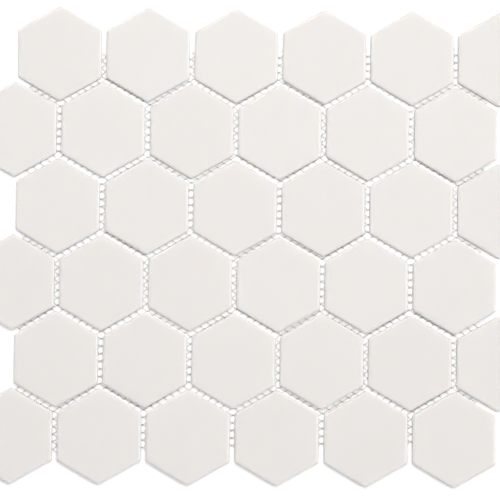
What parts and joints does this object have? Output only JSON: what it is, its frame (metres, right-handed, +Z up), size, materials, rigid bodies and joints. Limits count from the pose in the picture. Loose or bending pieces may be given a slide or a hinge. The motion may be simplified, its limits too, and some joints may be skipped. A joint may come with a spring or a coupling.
{
  "type": "hexagon glass mosaic tile sheet",
  "caption": "Sheet of white opal-glass hexagon mosaic tiles with rounded rims, set in staggered rows and held at even grout joints by an open-mesh backing net.",
  "frame": {"origin": "on the floor, under the middle of the sheet's bounding box", "axes": "+Z up out of the tile faces, +X along the rows of tiles (the sheet's longer side), +Y across the rows"},
  "size_m": [0.348, 0.292, 0.0055],
  "materials": {
    "opal_glass": "satin",
    "net_yarn": "matte"
  },
  "bodies": {
    "root": {"hex_tile_r1_c1": "opal_glass", "hex_tile_r1_c2": "opal_glass", "hex_tile_r1_c3": "opal_glass", "hex_tile_r1_c4": "opal_glass", "hex_tile_r1_c5": "opal_glass", "hex_tile_r1_c6": "opal_glass", "hex_tile_r2_c1": "opal_glass", "hex_tile_r2_c2": "opal_glass", "hex_tile_r2_c3": "opal_glass", "hex_tile_r2_c4": "opal_glass", "hex_tile_r2_c5": "opal_glass", "hex_tile_r2_c6": "opal_glass", "hex_tile_r3_c1": "opal_glass", "hex_tile_r3_c2": "opal_glass", "hex_tile_r3_c3": "opal_glass", "hex_tile_r3_c4": "opal_glass", "hex_tile_r3_c5": "opal_glass", "hex_tile_r3_c6": "opal_glass", "hex_tile_r4_c1": "opal_glass", "hex_tile_r4_c2": "opal_glass", "hex_tile_r4_c3": "opal_glass", "hex_tile_r4_c4": "opal_glass", "hex_tile_r4_c5": "opal_glass", "hex_tile_r4_c6": "opal_glass", "hex_tile_r5_c1": "opal_glass", "hex_tile_r5_c2": "opal_glass", "hex_tile_r5_c3": "opal_glass", "hex_tile_r5_c4": "opal_glass", "hex_tile_r5_c5": "opal_glass", "hex_tile_r5_c6": "opal_glass", "hex_tile_r6_c1": "opal_glass", "hex_tile_r6_c2": "opal_glass", "hex_tile_r6_c3": "opal_glass", "hex_tile_r6_c4": "opal_glass", "hex_tile_r6_c5": "opal_glass", "hex_tile_r6_c6": "opal_glass", "net_falling_yarns": "net_yarn", "net_rising_yarns": "net_yarn"}
  },
  "joints": []
}
